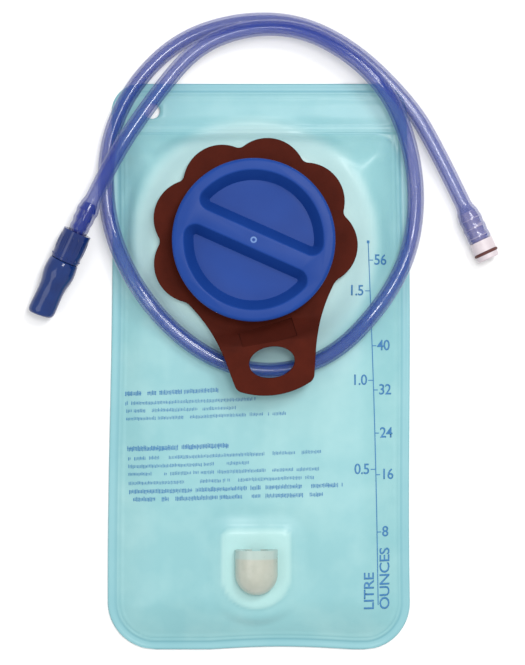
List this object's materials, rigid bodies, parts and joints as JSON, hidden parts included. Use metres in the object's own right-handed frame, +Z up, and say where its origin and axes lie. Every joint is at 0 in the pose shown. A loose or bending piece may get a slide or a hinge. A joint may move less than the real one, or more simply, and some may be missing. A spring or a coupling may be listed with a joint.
{
  "type": "hydration bladder",
  "caption": "Flexible film water reservoir with a screw-capped fill mouth, finger-hole handle collar, outlet port, and a coiled drink tube with plug and bite valve.",
  "frame": {"origin": "on the floor under the middle of the bag, which lies on its back film", "axes": "+Z up out of the bag's front face, +Y from the outlet port towards the hanging end, +X to the right seen from the front"},
  "size_m": [0.2662, 0.3623, 0.04],
  "materials": {
    "bag_film": "thin clear aqua film, glossy",
    "neck_plastic": "translucent blue moulding",
    "collar_plastic": "fine-grained dark maroon",
    "cap_plastic": "satin blue",
    "seal_rubber": "dark red-brown",
    "port_plastic": "milky translucent",
    "hose_plastic": "clear blue tube, glossy",
    "plug_plastic": "off-white",
    "stem_plastic": "deep blue",
    "spout_plastic": "deep blue, glossy",
    "mouthpiece_rubber": "deep blue, glossy silicone"
  },
  "bodies": {
    "reservoir": {"back_film": "bag_film", "front_film": "bag_film", "fill_neck": "neck_plastic", "handle_collar": "collar_plastic", "outlet_port": "port_plastic", "drink_tube": "hose_plastic", "plug": "plug_plastic", "plug_o_ring": "seal_rubber", "valve_stem": "stem_plastic"},
    "gasket": {"cap_gasket": "seal_rubber"},
    "screw_cap": {"cap": "cap_plastic"},
    "valve_seal": {"valve_o_ring": "seal_rubber"},
    "bite_valve": {"valve_spout": "spout_plastic", "mouthpiece": "mouthpiece_rubber"}
  },
  "joints": [
    {"name": "cap_rise", "type": "slide", "parent": "reservoir", "child": "gasket", "axis": [0, 0, 1], "range_m": [0, 0.012]},
    {"name": "cap_turn", "type": "hinge", "parent": "gasket", "child": "screw_cap", "pos_m": [-0.0035, 0.071, 0.03], "axis": [0, 0, 1], "range_deg": [0, 360]},
    {"name": "valve_twist", "type": "hinge", "parent": "reservoir", "child": "valve_seal", "pos_m": [-0.1032, 0.0761, 0.0129], "axis": [-0.4205, -0.9021, -0.0963], "range_deg": [0, 90]},
    {"name": "valve_pull", "type": "slide", "parent": "valve_seal", "child": "bite_valve", "axis": [-0.4205, -0.9021, -0.0963], "range_m": [0, 0.004]}
  ],
  "couplings": [
    {"joint": "cap_rise", "follows": "cap_turn", "m_per_rad": 0.0019099},
    {"joint": "valve_pull", "follows": "valve_twist", "m_per_rad": 0.0025465}
  ]
}
